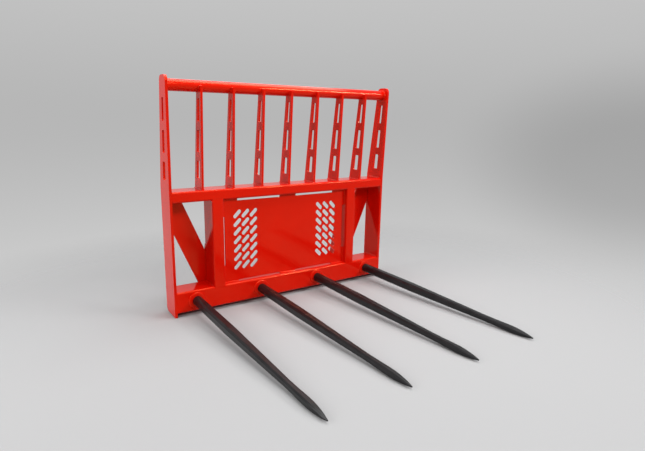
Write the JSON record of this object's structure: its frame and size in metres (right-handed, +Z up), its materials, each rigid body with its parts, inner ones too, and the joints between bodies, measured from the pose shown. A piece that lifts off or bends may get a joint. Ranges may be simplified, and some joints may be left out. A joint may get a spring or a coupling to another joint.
{
  "type": "bale spike attachment",
  "caption": "Loader bale spike: red welded back frame with a slatted top half, a vented centre panel and long black tapered tines bolted through the lower rail, with hooks and pin ears behind.",
  "frame": {"origin": "on the floor under the centre of the bounding box, at the level of the side plates' feet", "axes": "+X across the frame to its right end seen from behind the tines' points, +Y from the tine points back to the loader, +Z up"},
  "size_m": [1.2, 1.269, 1.064],
  "materials": {
    "red_paint": "gloss red powder coat over welded steel",
    "black_tine": "satin black coating on forged spring steel",
    "zinc": "bright zinc plated washers and nuts"
  },
  "bodies": {
    "root": {"side_plate_left": "red_paint", "side_plate_right": "red_paint", "top_tube": "red_paint", "slat_1": "red_paint", "slat_2": "red_paint", "slat_3": "red_paint", "slat_4": "red_paint", "slat_5": "red_paint", "slat_6": "red_paint", "slat_7": "red_paint", "middle_rail": "red_paint", "lower_rail": "red_paint", "post_left": "red_paint", "post_right": "red_paint", "centre_panel": "red_paint", "brace_left": "red_paint", "brace_right": "red_paint", "tine_bush_1": "red_paint", "tine_bush_2": "red_paint", "tine_bush_3": "red_paint", "tine_bush_4": "red_paint", "tine_1": "black_tine", "tine_2": "black_tine", "tine_3": "black_tine", "tine_4": "black_tine", "tine_washer_1": "zinc", "tine_washer_2": "zinc", "tine_washer_3": "zinc", "tine_washer_4": "zinc", "tine_nut_1": "zinc", "tine_nut_2": "zinc", "tine_nut_3": "zinc", "tine_nut_4": "zinc", "hook_plate_left_inner": "red_paint", "hook_plate_left_outer": "red_paint", "hook_plate_right_inner": "red_paint", "hook_plate_right_outer": "red_paint", "pin_ear_left_inner": "red_paint", "pin_ear_left_outer": "red_paint", "pin_ear_right_inner": "red_paint", "pin_ear_right_outer": "red_paint"}
  },
  "joints": []
}
